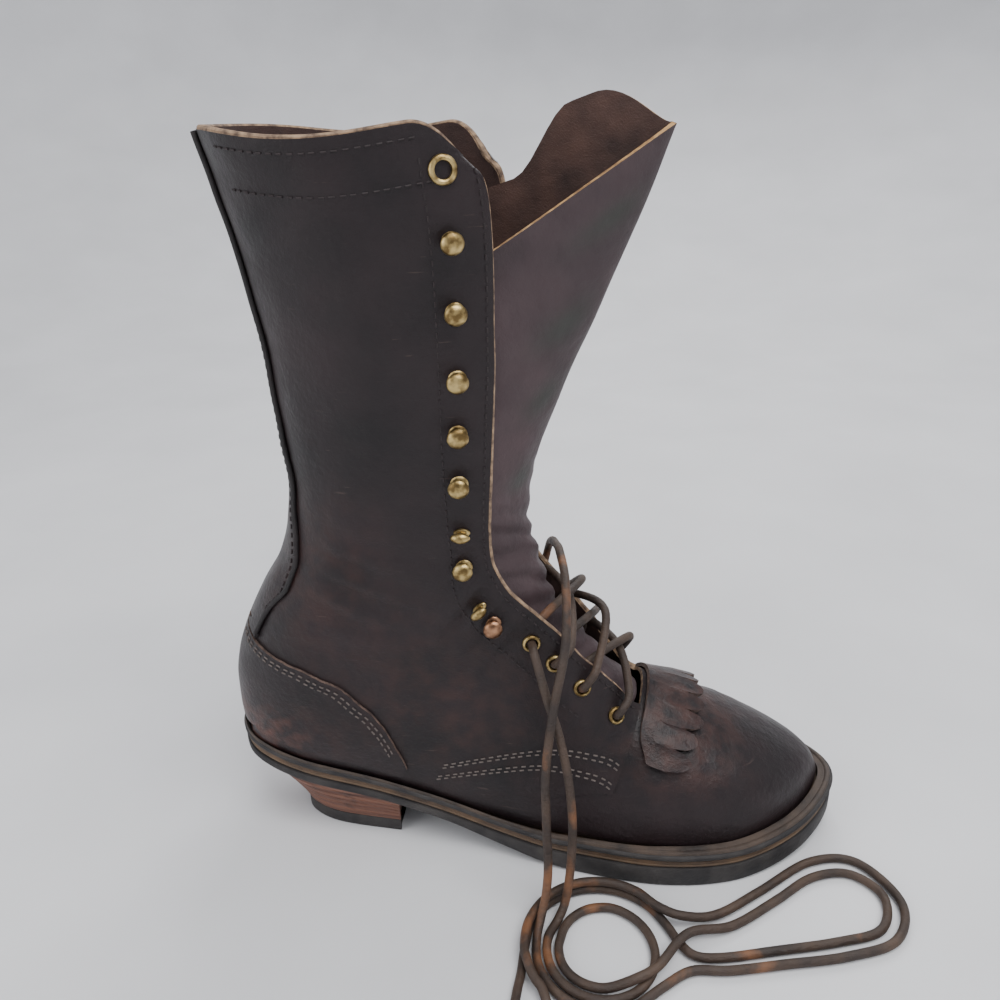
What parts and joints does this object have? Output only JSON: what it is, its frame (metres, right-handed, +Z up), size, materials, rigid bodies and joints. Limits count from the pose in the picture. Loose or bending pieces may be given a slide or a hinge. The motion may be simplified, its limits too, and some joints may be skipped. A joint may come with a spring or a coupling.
{
  "type": "lace-up packer boot",
  "caption": "Tall lace-up leather boot for the right foot with speed hooks, fringed kiltie, welted rubber sole and a stacked undershot heel, lace hanging loose to the floor.",
  "frame": {"origin": "on the floor, under the middle of the boot's bounding box without the free lace", "axes": "+X to the toe, +Y to the wearer's left, which is the inner side, +Z up"},
  "size_m": [0.3235, 0.2018, 0.3331],
  "materials": {
    "oiled_leather": "dark oiled brown-black leather, worn, soft sheen",
    "tongue_leather": "purple-brown grain outside, dark suede inside, tan cut edge",
    "insole_leather": "plain tan leather",
    "welt_leather": "worn brown leather",
    "midsole_leather": "brown leather edge",
    "sole_rubber": "matt black rubber",
    "stacked_leather": "reddish-brown stacked leather lifts",
    "antique_brass": "dull antique brass, tarnished",
    "rawhide_lace": "round dark rawhide, rubbed orange-brown in places"
  },
  "bodies": {
    "root": {"backstay": "oiled_leather", "counter": "oiled_leather", "eyelet_lateral_1": "antique_brass", "eyelet_lateral_2": "antique_brass", "eyelet_lateral_3": "antique_brass", "eyelet_lateral_4": "antique_brass", "eyelet_lateral_5": "antique_brass", "eyelet_medial_1": "antique_brass", "eyelet_medial_2": "antique_brass", "eyelet_medial_3": "antique_brass", "eyelet_medial_4": "antique_brass", "eyelet_medial_5": "antique_brass", "heel_stack": "stacked_leather", "hook_lateral_1": "antique_brass", "hook_lateral_2": "antique_brass", "hook_lateral_3": "antique_brass", "hook_lateral_4": "antique_brass", "hook_lateral_5": "antique_brass", "hook_lateral_6": "antique_brass", "hook_lateral_7": "antique_brass", "hook_lateral_8": "antique_brass", "hook_lateral_9": "antique_brass", "hook_medial_1": "antique_brass", "hook_medial_2": "antique_brass", "hook_medial_3": "antique_brass", "hook_medial_4": "antique_brass", "hook_medial_5": "antique_brass", "hook_medial_6": "antique_brass", "hook_medial_7": "antique_brass", "hook_medial_8": "antique_brass", "hook_medial_9": "antique_brass", "insole": "insole_leather", "kiltie": "oiled_leather", "lace_coil": "rawhide_lace", "lace_end_lateral": "rawhide_lace", "lace_end_medial": "rawhide_lace", "lace_loop_inner": "rawhide_lace", "lace_loop_outer": "rawhide_lace", "lace_run_lateral": "rawhide_lace", "lace_run_medial": "rawhide_lace", "lace_tail_lateral": "rawhide_lace", "lace_tail_medial": "rawhide_lace", "midsole": "midsole_leather", "outsole": "sole_rubber", "tongue": "tongue_leather", "top_lift": "sole_rubber", "upper": "oiled_leather", "welt": "welt_leather"}
  },
  "joints": []
}
